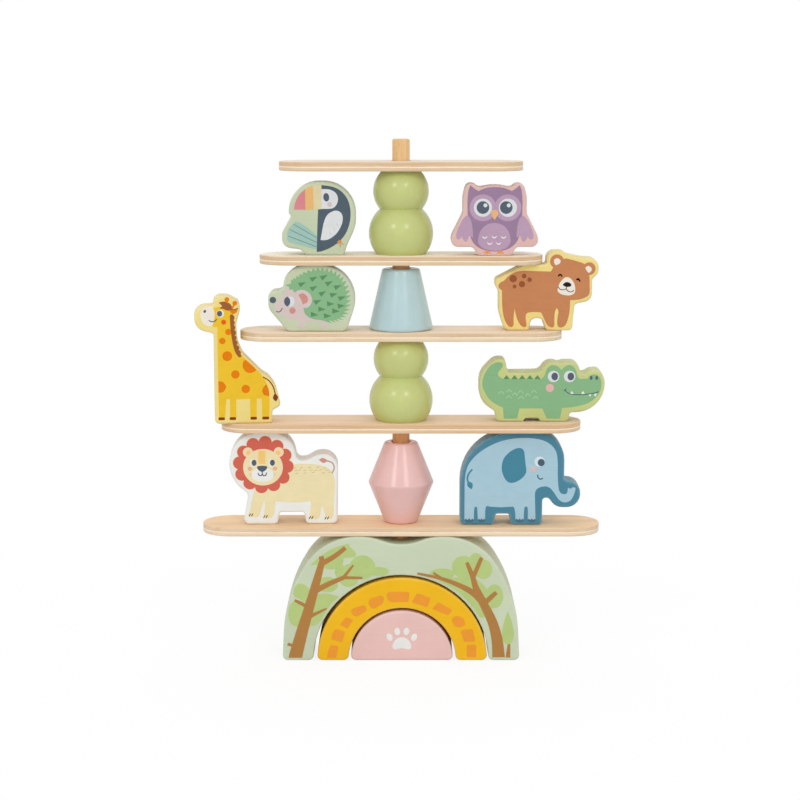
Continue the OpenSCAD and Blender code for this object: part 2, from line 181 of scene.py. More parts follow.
class Shader:
    """A material and short ways to add nodes to it; textures follow the solid's own frame, in metres."""

    def __init__(self, name, **uniform):
        self.material = bpy.data.materials.new(name)
        self.material.use_nodes = True
        self.tree = self.material.node_tree
        self.surface = self.tree.nodes["Principled BSDF"]
        self.place = self.add("ShaderNodeTexCoord").outputs["Object"]
        for key, value in uniform.items():
            self.put(key.replace("_", " ").title().replace("Ior", "IOR"), value)

    def add(self, kind, inputs=None, **settings):
        return add_node(self.tree, kind, inputs, **settings)

    def put(self, key, value):
        feed(self.tree, self.surface.inputs[key], value)

    def math(self, operation, a, b=0.0):
        return self.add("ShaderNodeMath", {0: a, 1: b}, operation=operation).outputs[0]

    def spread(self, value, low, high, to_low=0.0, to_high=1.0, smooth=False):
        kind = "SMOOTHSTEP" if smooth else "LINEAR"
        inputs = {"Value": value, "From Min": low, "From Max": high, "To Min": to_low, "To Max": to_high}
        return self.add("ShaderNodeMapRange", inputs, interpolation_type=kind).outputs[0]

    def mix(self, share, a, b):
        return self.add("ShaderNodeMix", {0: share, 6: a, 7: b}, data_type="RGBA").outputs[2]

    def noise(self, stretch, scale, detail, roughness=0.55, shift=0.0):
        place = {"Vector": self.place, "Location": (shift,) * 3, "Scale": stretch}
        moved = self.add("ShaderNodeMapping", place)
        inputs = {"Vector": moved.outputs[0], "Scale": scale, "Detail": detail, "Roughness": roughness}
        return self.add("ShaderNodeTexNoise", inputs).outputs[0]

    def height(self):
        return self.add("ShaderNodeSeparateXYZ", {0: self.place}).outputs[2]

    def true_normal(self):
        return self.add("ShaderNodeNewGeometry").outputs["True Normal"]

    def edges(self, radius):
        """0 on flat stretches, rising to 1 along edges."""
        soft = self.add("ShaderNodeBevel", {"Radius": radius}, samples=6).outputs[0]
        alike = self.add("ShaderNodeVectorMath", {0: soft, 1: self.true_normal()}, operation="DOT_PRODUCT")
        return self.spread(alike.outputs["Value"], 0.995, 0.93, smooth=True)

    def colour(self, value):
        self.put("Base Color", value)

    def roughness(self, value):
        self.put("Roughness", value)

    def bump(self, height, strength, depth):
        inputs = {"Height": height, "Strength": strength, "Distance": depth}
        self.put("Normal", self.add("ShaderNodeBump", inputs).outputs[0])


# How a texture is squeezed along each axis
ALONG_X = (1.0, 14.0, 14.0)
ALONG_Z = (14.0, 14.0, 1.0)
EVEN = (1.0, 1.0, 1.0)

# How far in from an edge its paint is rubbed, in metres; on the matt paint the paler rim is also a painted
# highlight along the edges
PAINT_RUB_AND_HIGHLIGHT = 0.0011
TURNED_RUB = 0.0009

BLOCK_SHEEN = 0.28


def paler(rgb, share, white):
    """A colour moved by a share toward a level that is nearly white."""
    return tuple((1 - share) * value + share * white for value in rgb)


def paint(name, rgb, sheen):
    """Matt paint on wood: faint grain shows through, and the sanded edges are a little paler, partly rubbed
    and partly a painted highlight.
    """
    shader = Shader(name, specular_ior_level=0.2, sheen_weight=sheen, sheen_roughness=0.5)
    grain = shader.noise(ALONG_X, 55, detail=4)
    cloud = shader.noise(EVEN, 28, detail=2, shift=0.3)
    speck = shader.noise(EVEN, 900, detail=2)
    tone = shader.mix(shader.spread(cloud, 0.3, 0.7), linear(rgb, 0.955), linear(rgb, 1.03))
    tone = shader.mix(shader.spread(grain, 0.5, 0.75, 0, 0.35), tone, linear(rgb, 0.9))
    # The paler edge is partly rubbed paint and partly a painted highlight along the edges
    rub = shader.math("MULTIPLY", shader.edges(PAINT_RUB_AND_HIGHLIGHT), shader.spread(cloud, 0.35, 0.65, 0.25, 0.75))
    shader.colour(shader.mix(rub, tone, linear(paler(rgb, 0.55, 248))))
    shader.roughness(shader.spread(grain, 0.3, 0.7, 0.46, 0.6))
    relief = shader.math("ADD", shader.math("MULTIPLY", grain, 0.7), shader.math("MULTIPLY", speck, 0.3))
    shader.bump(relief, 0.25, 0.00012)
    return shader.material


def lacquer(name, rgb):
    """Satin lacquer on turned wood, with faint rings of the lathe and streaks of grain."""
    shader = Shader(name, coat_weight=0.7, coat_roughness=0.21, specular_ior_level=0.1)
    streak = shader.noise(ALONG_Z, 60, detail=4)
    ring = shader.noise((1.0, 1.0, 40.0), 22, detail=2, shift=0.7)
    cloud = shader.noise(EVEN, 35, detail=2)
    tone = shader.mix(shader.spread(cloud, 0.3, 0.7), linear(rgb, 0.95), linear(rgb, 1.03))
    tone = shader.mix(shader.spread(streak, 0.52, 0.75, 0, 0.3), tone, linear(rgb, 0.86))
    rub = shader.math("MULTIPLY", shader.edges(TURNED_RUB), 0.35)
    shader.colour(shader.mix(rub, tone, linear(paler(rgb, 0.4, 250))))
    shader.roughness(shader.spread(streak, 0.3, 0.7, 0.4, 0.5))
    shader.bump(shader.math("ADD", streak, shader.math("MULTIPLY", ring, 0.5)), 0.12, 0.0001)
    return shader.material


# The dowel's wood: pale and dark grain above the top plank, a darker, warmer painted shade of it below, and
# its marks
BEECH_ABOVE_PLANKS = ((236, 203, 152), (221, 179, 122))
BEECH_PAINTED_SHADE = ((233, 176, 122), (218, 152, 98))
BEECH_BAND = (208, 152, 98)
BEECH_FLECK = (164, 112, 66)
BEECH_EDGE = (240, 214, 172)
SHADE_BLEND_LENGTH = 0.004


def beech(name, painted_shade_below):
    """Bare beech with grain along the rod and short dark flecks; below a height it turns darker and warmer, a
    painted shade of the planks and beads over it.
    """
    shader = Shader(name, specular_ior_level=0.35)
    grain = shader.noise((30.0, 30.0, 1.0), 22, detail=6, roughness=0.6)
    fleck = shader.noise((22.0, 22.0, 3.0), 85, detail=1, shift=0.4)
    band = shader.noise((1.0, 1.0, 0.25), 60, detail=2)
    upper_tone, painted_shade_tone = (shader.mix(shader.spread(grain, 0.3, 0.7), linear(pale), linear(dark))
                   for pale, dark in (BEECH_ABOVE_PLANKS, BEECH_PAINTED_SHADE))
    # Below the top plank the rod is painted darker and warmer, as painted shade from the planks and beads
    tone = shader.mix(shader.spread(shader.height(), painted_shade_below - SHADE_BLEND_LENGTH, painted_shade_below), painted_shade_tone, upper_tone)
    tone = shader.mix(shader.spread(band, 0.4, 0.7, 0, 0.3), tone, linear(BEECH_BAND))
    tone = shader.mix(shader.spread(fleck, 0.62, 0.72, 0, 0.55), tone, linear(BEECH_FLECK))
    rub = shader.math("MULTIPLY", shader.edges(TURNED_RUB), 0.4)
    shader.colour(shader.mix(rub, tone, linear(BEECH_EDGE)))
    shader.roughness(shader.spread(grain, 0.3, 0.7, 0.5, 0.68))
    shader.bump(grain, 0.3, 0.00015)
    return shader.material


# The planks' colours, on their faces and along their edges; the faces of the planks under others are partly
# their own tone and partly painted lighter, as painted light that makes up for the shade of the planks above
VENEERS_WITH_PAINTED_LIGHT = {
    "plank_1": (245, 205, 154),
    "plank_2": (242, 209, 171),
    "plank_3": (246, 220, 191),
    "plank_4": (255, 241, 219),
    "plank_5": (234, 217, 194),
}
PLIES = {
    "plank_1": (233, 211, 181),
    "plank_2": (222, 191, 153),
    "plank_3": (227, 207, 175),
    "plank_4": (220, 194, 159),
    "plank_5": (222, 196, 161),
}
GRAIN_LINE = (196, 148, 98)
SEAM = (178, 126, 80)
CROSS_PLY = (246, 229, 200)
# Where the glue lines lie, as a share of the thickness, and how dark each is
SEAMS = ((0.08, 0.5), (0.36, 0.25), (0.55, 0.75), (0.75, 0.45))


def plywood(name, foot, thickness, face, ply):
    """Birch plywood: a face veneer with grain along the plank, and its plies along the sanded edge.

    The height of its foot shifts the textures, so that no two planks are alike.
    """
    shader = Shader(name, specular_ior_level=0.4, sheen_weight=0.2, sheen_roughness=0.5)
    grain = shader.noise((1.0, 22.0, 22.0), 16, detail=6, roughness=0.62, shift=foot)
    figure = shader.noise((0.35, 5.0, 1.0), 14, detail=3, shift=foot + 0.8)
    fleck = shader.noise((3.0, 30.0, 30.0), 75, detail=1, shift=foot + 0.2)
    wander = shader.noise((1.0, 6.0, 1.0), 30, detail=2, shift=foot + 0.5)
    patch = shader.noise(EVEN, 24, detail=2, shift=foot + 0.9)
    level = shader.math("DIVIDE", shader.math("SUBTRACT", shader.height(), foot), thickness)
    level = shader.math("ADD", level, shader.spread(wander, 0, 1, -0.04, 0.04))

    veneer = shader.mix(shader.spread(figure, 0.35, 0.7), linear(face, 1.04), linear(face, 0.9))
    veneer = shader.mix(shader.spread(grain, 0.5, 0.75, 0, 0.3), veneer, linear(GRAIN_LINE))
    veneer = shader.mix(shader.spread(fleck, 0.66, 0.74, 0, 0.25), veneer, linear(SEAM))

    long_ply = shader.mix(shader.spread(grain, 0.45, 0.75, 0, 0.45), linear(ply), linear(GRAIN_LINE))
    long_ply = shader.mix(shader.spread(level, 0.56, 0.64, 0, 0.2), long_ply, linear(GRAIN_LINE))
    cross_ply = shader.mix(shader.spread(fleck, 0.4, 0.7, 0, 0.3), linear(CROSS_PLY), linear(ply))
    lower = shader.spread(level, 0.11, 0.04, 0, 0.5)
    middle = shader.math("MULTIPLY", shader.spread(level, 0.33, 0.39), shader.spread(level, 0.54, 0.49))
    plies = shader.mix(shader.math("MAXIMUM", lower, middle), long_ply, cross_ply)
    broken = shader.math("MULTIPLY", shader.spread(patch, 0.4, 0.6, 0.4, 1),
                         shader.spread(fleck, 0.35, 0.6, 0.45, 1))
    for seam, depth in SEAMS:
        away = shader.math("ABSOLUTE", shader.math("SUBTRACT", level, seam))
        line = shader.math("MULTIPLY", shader.spread(away, 0.055, 0.015, 0, depth), broken)
        plies = shader.mix(line, plies, linear(SEAM))

    upright = shader.add("ShaderNodeSeparateXYZ", {0: shader.true_normal()})
    flat_share = shader.spread(shader.math("ABSOLUTE", upright.outputs[2]), 0.55, 0.9)
    shader.colour(shader.mix(flat_share, plies, veneer))
    shader.roughness(shader.spread(grain, 0.3, 0.7, 0.52, 0.7))
    shader.bump(grain, 0.3, 0.00015)
    return shader.material


def ink(name, rgb):
    """A printed colour: nearly even, with the faint lines of the wood under it."""
    shader = Shader("ink_" + name, specular_ior_level=0.12)
    grain = shader.noise(ALONG_X, 70, detail=4)
    cloud = shader.noise(EVEN, 120, detail=2, shift=0.6)
    tone = shader.mix(shader.spread(cloud, 0.3, 0.7), linear(rgb, 0.97), linear(rgb, 1.02))
    shader.colour(shader.mix(shader.spread(grain, 0.52, 0.78, 0, 0.5), tone, linear(rgb, 0.9)))
    shader.roughness(shader.spread(grain, 0.3, 0.7, 0.5, 0.62))
    shader.bump(grain, 0.15, 0.0001)
    return shader.material


# Outlines for the prints, in millimetres across and up the face

CURVE_STEPS = 6
CAP_STEPS = 6
PETAL_STEPS = 10
ROUND_STEPS = 4
DISC_POINTS = 44
DOT_POINTS = 20
DOT_RADIUS = 2


def turned(points, x, z, tilt):
    """Points about 0, turned anticlockwise by tilt degrees and moved to x and z."""
    turn = math.radians(tilt)
    return [(x + a * math.cos(turn) - b * math.sin(turn), z + a * math.sin(turn) + b * math.cos(turn))
            for a, b in points]


def disc(x, z, rx, rz=None, tilt=0.0):
    """A circle or an ellipse, tilted anticlockwise in degrees."""
    rz = rx if rz is None else rz
    count = DOT_POINTS if max(rx, rz) < DOT_RADIUS else DISC_POINTS
    angles = [2 * math.pi * i / count for i in range(count)]
    return turned([(rx * math.cos(angle), rz * math.sin(angle)) for angle in angles], x, z, tilt)


def between(t, p, q, r, s):
    """A smooth curve from q to r, at share t of the way; p and s are the points before and after."""
    return 0.5 * (2 * q + (r - p) * t + (2 * p - 5 * q + 4 * r - s) * t ** 2
                  + (3 * q - p - 3 * r + s) * t ** 3)


def bend(points, closed, steps=CURVE_STEPS):
    """Points along a smooth curve through the given ones."""
    count = len(points)
    spans = count if closed else count - 1
    found = []
    for i in range(spans):
        near = range(i - 1, i + 3)
        four = [points[k % count if closed else min(max(k, 0), count - 1)] for k in near]
        for j in range(steps):
            found.append(tuple(between(j / steps, *values) for values in zip(*four)))
    if not closed:
        found.append(points[-1])
    return found


def blob(points):
    """A closed curve through points; those marked SHARP stay sharp."""
    bare = [point[:2] for point in points]
    corners = [i for i, point in enumerate(points) if len(point) == 3]
    if not corners:
        return bend(bare, True)
    found = []
    for number, first in enumerate(corners):
        last = corners[(number + 1) % len(corners)]
        length = (last - first) % len(points) or len(points)
        span = [bare[(first + k) % len(points)] for k in range(length + 1)]
        found.extend(bend(span, False)[:-1])
    return found


def rounded(points, radius):
    """A polygon whose corners are rounded off."""
    count = len(points)
    found = []
    for i in range(count):
        before, here, after = (Vector(points[(i + k) % count]) for k in (-1, 0, 1))
        start, end = (here + side.normalized() * min(radius, side.length * 0.48)
                      for side in (before - here, after - here))
        for j in range(ROUND_STEPS + 1):
            t = j / ROUND_STEPS
            found.append(tuple(start * (1 - t) ** 2 + here * 2 * t * (1 - t) + end * t ** 2))
    return found


def band(points, width, tip, steps):
    """The middle, left and right of a band along a smooth curve; tip is its width at the far end."""
    path = [Vector(p) for p in bend(points, False, steps)]
    left, right = [], []
    last = len(path) - 1
    for i, here in enumerate(path):
        ahead = (path[min(i + 1, last)] - path[max(i - 1, 0)]).normalized()
        side = Vector((-ahead.y, ahead.x)) * (width + (tip - width) * i / last) / 2
        left.append(here + side)
        right.append(here - side)
    return path, left, right


def stroke(points, width, steps=CURVE_STEPS):
    """A line along a smooth curve, with round ends."""
    path, left, right = band(points, width, width, steps)
    found = right + cap(path[-1], right[-1]) + left[::-1] + cap(path[0], left[0])
    return [tuple(p) for p in found]


def limb(points, width, tip, level=False):
    """A trunk or branch along a smooth curve, with square ends; level cuts its foot along the ground."""
    path, left, right = band(points, width, tip, CURVE_STEPS)
    if level:
        right[0].y = left[0].y = path[0].y
    return [tuple(p) for p in right + left[::-1]]


def cap(middle, start):
    """Points round half a circle about the middle, anticlockwise from the start."""
    turns = [math.pi * k / CAP_STEPS for k in range(1, CAP_STEPS)]
    return [middle + Matrix.Rotation(turn, 2) @ (start - middle) for turn in turns]


def petals(x, z, rx, rz, count, r, start):
    """The outline of a ring of overlapping round petals, filled."""
    middles = []
    for i in range(count):
        angle = math.radians(start + 360 * i / count)
        middles.append(Vector((x + rx * math.cos(angle), z + rz * math.sin(angle))))
    cusps = []
    for i in range(count):
        here, after = middles[i], middles[(i + 1) % count]
        gap = after - here
        rise = math.sqrt(max(0.0, r * r - gap.length_squared / 4))
        cusps.append((here + after) / 2 + Vector((gap.y, -gap.x)).normalized() * rise)
    found = []
    for i in range(count):
        first = cusps[i - 1] - middles[i]
        last = cusps[i] - middles[i]
        sweep = (math.atan2(last.y, last.x) - math.atan2(first.y, first.x)) % (2 * math.pi)
        for j in range(PETAL_STEPS):
            found.append(tuple(middles[i] + Matrix.Rotation(sweep * j / PETAL_STEPS, 2) @ first))
    return found


def spines(points, count, reach, drift):
    """An open row of sharp spines along a curve; each stands out by reach and trails right by drift."""
    path = [Vector(p) for p in bend(points, False, 2 * CURVE_STEPS)]
    found = []
    for i in range(count):
        at = (len(path) - 1) * i / count
        here = path[int(at)].lerp(path[int(at) + 1], at % 1)
        ahead = (path[int(at) + 1] - path[int(at)]).normalized()
        out = Vector((-ahead.y, ahead.x))
        tip = here + out * reach + Vector((drift, 0))
        found.append(tuple(here))
        found.append(tuple(here.lerp(tip, 0.5) + out * 0.35))
        found.append(tuple(tip))
    return found


def flipped(outline):
    """Mirrored across x = 0."""
    return [(-a, b) for a, b in outline][::-1]


# Prints; the inks' depths are in millimetres

INK_SINK = 0.2
INK_BASE = 0.04
INK_STEP = 0.02
ink_materials = {}


class Print:
    """Plates of ink on the front and the back of a flat block.

    The drawing's x is `left` at the block's left edge, or 0 at its middle; its z is `foot` at the foot.
    """

    def __init__(self, node, left=None, foot=0.0):
        self.node = node
        self.layers = []
        faces = nodes[node].data.polygons
        front = max((f for f in faces if f.normal.y < -0.9), key=lambda f: f.area)
        self.out = front.normal.copy()
        self.across = Vector((-self.out.y, self.out.x, 0))
        places = [vertex.co for vertex in nodes[node].data.vertices]
        self.front = max(place.dot(self.out) for place in places)
        self.back = min(place.dot(self.out) for place in places)
        sides = [place.dot(self.across) for place in places]
        self.origin = (min(sides) + max(sides)) / 2 if left is None else min(sides) - left * MM
        self.foot = min(place.z for place in places) - foot * MM

    def ink(self, name, *outlines):
        """Adds outlines, each one layer above those that its box meets."""
        for outline in outlines:
            xs, zs = zip(*outline)
            box = (min(xs), max(xs), min(zs), max(zs))
            under = [layer for layer, other, _, _ in self.layers
                     if box[0] < other[1] and other[0] < box[1] and box[2] < other[3] and other[2] < box[3]]
            self.layers.append((max(under, default=-1) + 1, box, name, outline))

    def place(self, x, z, depth):
        spot = self.across * (self.origin + x * MM) + self.out * depth
        return (spot.x, spot.y, self.foot + z * MM)

    def build(self):
        """Makes the plates as one piece that rides on the block."""
        mesh = bmesh.new()
        used = sorted({name for _, _, name, _ in self.layers})
        for layer, _, name, outline in self.layers:
            proud = (INK_BASE + INK_STEP * layer) * MM
            for inner, outer in ((self.front - INK_SINK * MM, self.front + proud),
                                 (self.back + INK_SINK * MM, self.back - proud)):
                low = [mesh.verts.new(self.place(x, z, inner)) for x, z in outline]
                high = [mesh.verts.new(self.place(x, z, outer)) for x, z in outline]
                made = [mesh.faces.new(low), mesh.faces.new(high[::-1])]
                for i in range(len(low)):
                    made.append(mesh.faces.new((low[i - 1], high[i - 1], high[i], low[i])))
                for face in made:
                    face.material_index = used.index(name)
        bmesh.ops.recalc_face_normals(mesh, faces=mesh.faces)
        data = bpy.data.meshes.new(self.node + "_print")
        mesh.to_mesh(data)
        mesh.free()
        for name in used:
            if name not in ink_materials:
                ink_materials[name] = ink(name, INKS[name])
            data.materials.append(ink_materials[name])
        piece = new_object(self.node + "_print", data)
        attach(piece, self.node)


def lion():
    p = Print("lion", left=-40.5)
    p.ink("cream", blob([
        (-10, 38), (2, 42.6), (14, 43.2), (24, 42), (30.5, 38.5), (33.2, 32), (33.2, 24), (32.5, 16),
        (32.3, 8), (31, 4.4), (27.3, 4.2), (24.2, 14, SHARP), (21.8, 4.4), (16, 4.4), (16, 10),
        (16.3, 16.6, SHARP), (11, 16), (4, 15.7), (-5.5, 16.4), (-8.5, 16.2, SHARP), (-9.3, 8.6),
        (-12, 4.8), (-15.8, 4.9), (-16.6, 7), (-15.8, 13.3), (-16.3, 18.3, SHARP), (-18.3, 11.2),
        (-20.4, 6), (-24, 5.3), (-27.2, 6.7), (-26.2, 10.7), (-25.2, 16.5), (-23.3, 24), (-20, 34)]))
    for x, z in ((-27, 6.8), (-16.8, 5.5), (15.2, 4.6), (26.2, 4.2)):
        for step in (0, 1.7):
            p.ink("black", stroke([(x + step, z - 0.6), (x + step + 0.9, z + 0.9)], 0.6))
    for x, z in (
            (4.4, 40.2), (9.2, 40.3), (14.9, 40.5), (20.5, 40.6), (25.4, 40), (5.2, 38.4), (7.9, 38.7),
            (11.5, 38.5), (16, 38.7), (19.2, 38.4), (22.5, 38.7), (27.4, 38.4), (5.9, 36.3), (11.7, 36.5),
            (17.3, 37), (24.5, 36.6), (28.6, 37)):
        p.ink("straw", stroke([(x, z), (x + 1.6, z + 0.25)], 0.6))
    p.ink("tail_brown", stroke([(31.4, 36.6), (32.9, 40), (31.7, 43.6), (28, 45.3)], 0.9))
    p.ink("tail_rose", blob([(22.1, 46, SHARP), (25, 47.3), (28.4, 45.4, SHARP), (25.5, 43.7)]))
    p.ink("pale_cream", petals(-16.6, 42.8, 16.6, 15.8, 12, 4.95, 85))
    p.ink("mane_red", petals(-16.6, 42.8, 16.6, 15.8, 12, 4.6, 85))
    for x, inner in ((-27.3, -26.8), (-5.8, -6.3)):
        p.ink("pale_cream", disc(x, 51.7, 3.5))
        p.ink("amber", disc(inner, 51.2, 1.6))
    p.ink("pale_cream", disc(-16.9, 41, 13.9, 13))
    p.ink("cream", disc(-16.9, 41, 13.2, 12.3))
    p.ink("amber", rounded([(-19.9, 43.4), (-15.3, 43.4), (-15, 52.8), (-20.2, 52.8)], 0.5))
    p.ink("white", blob([
        (-24.5, 37.9), (-21.2, 40.1), (-17.2, 40.7), (-12.9, 40.1), (-10.1, 37.9), (-9.8, 34.4),
        (-11.8, 31.8), (-17.2, 30.6), (-22.6, 31.8), (-24.8, 34.4)]))
    for x in (-23.1, -10.3):
        p.ink("white", disc(x - 0.6, 44, 2.2, 2.8))
        p.ink("slate", disc(x, 44.2, 1.7, 2.2))
    for x in (-26, -8.5):
        p.ink("peach", disc(x, 40, 1.5))
    p.ink("slate", blob([
        (-20.9, 41.5), (-17.5, 42.1), (-14.1, 41.5), (-14.7, 39.3), (-17.5, 37.7), (-20.3, 39.3)]))
    p.ink("slate", stroke([
        (-20.3, 36.7), (-19.7, 35.4), (-18.3, 35.1), (-17.5, 36.3), (-17.5, 38.5)], 0.75))
    p.ink("slate", stroke([(-17.5, 36.3), (-16.7, 35.1), (-15.1, 35.3), (-14.5, 36.8)], 0.75))
    for x in (-26.2, -9.5):
        p.ink("peach", stroke([(x, 36.6), (x + 1.2, 36.4)], 0.4), stroke([(x, 35.2), (x + 1.2, 35.4)], 0.4))
    p.build()


def elephant():
    p = Print("elephant", left=-40.6)
    p.ink("sky", blob([
        (-37.5, 2.4, SHARP), (-37.5, 20), (-37.3, 33), (-35.8, 41), (-32.8, 46.3), (-28, 51.2), (-22, 55.4),
        (-15, 58.8), (-8, 60.9), (0, 62), (8, 62), (15, 61), (20, 59), (24, 55.8), (26.5, 51.5), (27.4, 45),
        (27.6, 35), (28.3, 26.4), (29.5, 23.3), (31.5, 22.2), (33.8, 22.6), (34.6, 24.6), (34.8, 27, SHARP),
        (36, 26.1), (37.4, 26.5), (38.4, 27.1), (40.2, 26.7, SHARP), (39.6, 23.5), (38.2, 19.8), (36, 17.2),
        (33, 16.3), (30, 17.1), (27.5, 19.6), (25, 23.4), (22.2, 26.6), (19, 27.7), (15, 27), (12.6, 25.1),
        (11.8, 22), (12, 13), (12.4, 2.4, SHARP), (7, 2.4, SHARP), (6.8, 12), (5.6, 13.2), (4.4, 12),
        (4, 2.4, SHARP), (-1.5, 2.4, SHARP), (-2.6, 12.2), (-6, 13.1), (-12, 12.8), (-19, 13.2),
        (-22.6, 12.8), (-23, 2.4, SHARP), (-28, 2.4, SHARP), (-28.6, 12), (-29.6, 13), (-30.6, 12),
        (-31, 2.4, SHARP)]))
    for left, right in ((-37.6, -30.8), (-28.2, -22.8), (-1.7, 4.2), (6.8, 12.6)):
        step = (right - left) / 3
        p.ink("deep_teal", blob([
            (left, 3.5, SHARP), (left + 0.5 * step, 4.6), (left + step, 3.5, SHARP),
            (left + 1.5 * step, 4.8), (left + 2 * step, 3.5, SHARP), (left + 2.5 * step, 4.6),
            (right, 3.5, SHARP), (right - 0.5, 2.5), ((left + right) / 2, 2.1), (left + 0.5, 2.5)]))
    p.ink("teal", blob([
        (1, 55), (3.4, 53.6), (4.3, 50), (4.8, 45), (5.5, 40), (5.1, 36.8), (2.5, 33.5), (-1.5, 31),
        (-5, 30.2), (-8, 31.5), (-10.5, 35.5), (-11.7, 41), (-10.5, 47), (-7, 51.5), (-2.5, 54.4)]))
    p.ink("teal", stroke([(-32.5, 39.5), (-34.5, 37), (-35.6, 33.5), (-34.8, 30)], 1.25))
    p.ink("teal", blob([
        (-35.8, 29.5), (-34.4, 31), (-32.2, 30), (-31.9, 27.6), (-32.6, 25.6, SHARP), (-35, 27.4)]))
    p.ink("ice", disc(14.8, 45.3, 3.6))
    p.ink("storm", disc(15.9, 44.7, 2.45, 2.6))
    p.ink("dusk", disc(10.4, 40, 2.4, 2.1))
    p.ink("storm", stroke([(13.6, 35.7), (13.8, 34.1), (15.3, 32.9), (17, 33.4)], 0.85))
    p.build()


def giraffe():
    p = Print("giraffe", left=-32.7, foot=-1.0)
    p.ink("gold", blob([
        (-16.7, 2.4, SHARP), (-16.9, 30), (-17, 58), (-16.9, 66.5, SHARP), (-20, 67), (-19.8, 70),
        (-18.6, 75), (-19.4, 80, SHARP), (-14, 80.6), (-8, 79.5), (-5.8, 75), (-5, 66), (-3.6, 56),
        (-1.4, 48.5), (1, 45.2), (7, 39.5), (13.5, 32.4), (17.2, 25), (18.3, 18), (18, 2.4, SHARP),
        (13.2, 2.4, SHARP), (12.9, 16.4, SHARP), (9.5, 16.4, SHARP), (9.2, 2.4, SHARP), (5, 2.4, SHARP),
        (4.9, 16.3, SHARP), (-4.6, 16.1, SHARP), (-4.8, 2.4, SHARP), (-9.2, 2.4, SHARP),
        (-8.9, 16.3, SHARP), (-11.4, 16.3, SHARP), (-12.7, 2.4, SHARP)]))
    p.ink("ivory", blob([
        (-28.4, 74), (-27.8, 78.6), (-25.4, 80.4), (-21, 80.8), (-19.6, 79), (-18.7, 75.4), (-19.4, 71),
        (-20.4, 68), (-23, 67.4), (-26.4, 69.2)]))
    p.ink("slate", disc(-25.4, 77.6, 0.9, 1.1, -25))
    p.ink("slate", stroke([(-22.6, 71.2), (-20.6, 70.4), (-18.4, 70.9), (-17.6, 71.9)], 0.7))
    p.ink("ivory", disc(-14.8, 75.9, 2.5, 2.6))
    p.ink("slate", disc(-15.3, 75.9, 1.8, 2))
    p.ink("coral", disc(-12.6, 70, 1.75))
    for outline in (
            disc(-9.5, 63.2, 2.15), disc(-13.7, 57, 2.2), disc(-10.5, 46.4, 3.4), disc(-5, 33.6, 2.9),
            disc(2, 23.3, 2.9)):
        p.ink("orange", outline)
    p.ink("orange", blob([
        (-16.75, 21, SHARP), (-13.6, 21.5), (-11.6, 25), (-13.6, 28.3), (-16.85, 29, SHARP)]))
    p.ink("orange", blob([
        (1.8, 43.9, SHARP), (6, 40.2), (9.6, 36.4, SHARP), (6.4, 34.6), (2.8, 35), (0.4, 38), (0.2, 41.5)]))
    p.ink("orange", blob([
        (16.4, 26.4, SHARP), (17.9, 22), (18.2, 18, SHARP), (14.6, 19), (13.3, 22), (14.6, 24.8)]))
    mane = [(-7.1, 74.2), (-6.8, 66), (-5.7, 57), (-4, 50), (-1.9, 46.6)]
    p.ink("brown", stroke(mane, 2.4))
    for x, z in ((-6.4, 73), (-6.3, 69.6), (-6, 66.2), (-5.5, 62.6), (-5.2, 59), (-4.5, 55.6),
                 (-3.4, 52), (-2.4, 48.8)):
        p.ink("brown", disc(x, z, 1.3, 1.7))
    p.ink("brown", blob([
        (-15.6, 83.6), (-12.5, 84.2), (-9.6, 83.6), (-7.4, 81.8), (-6.6, 79), (-8.2, 78), (-10.8, 78.2),
        (-12.8, 79.2), (-15.2, 79.6), (-13.6, 81), (-14.6, 82.4)]))
    p.ink("orange", disc(-10.2, 85.6, 1.6), stroke([(-10.2, 86), (-10, 83.4)], 1.1))
    p.ink("orange", disc(-4.8, 83, 1.6), stroke([(-4.8, 83), (-6.6, 79.6)], 1.1))
    p.ink("orange", blob([
        (-8.6, 78.6, SHARP), (-5.6, 78.4), (-2.8, 79.2, SHARP), (-3.6, 76.8), (-5.8, 75.6), (-7.6, 76.6)]))
    p.ink("brown", stroke([(-8.4, 78.8), (-5.6, 78.6), (-2.9, 79.4)], 0.7))
    for left, right in ((-17.1, -12.7), (-9.4, -5), (5, 9.4), (13.2, 17.9)):
        p.ink("dark_brown", rounded([(left, 1.7), (right, 1.7), (right, 3.7), (left, 3.7)], 0.7))
    p.ink("dark_brown", stroke([(14.2, 31.4), (18.2, 28.7), (21, 24.5), (22.2, 20)], 0.8))
    p.ink("dark_brown", blob([
        (22.2, 20.2, SHARP), (24.1, 17.6), (23.8, 15.8), (22.8, 14.2, SHARP), (20.9, 16), (21, 18)]))
    p.build()


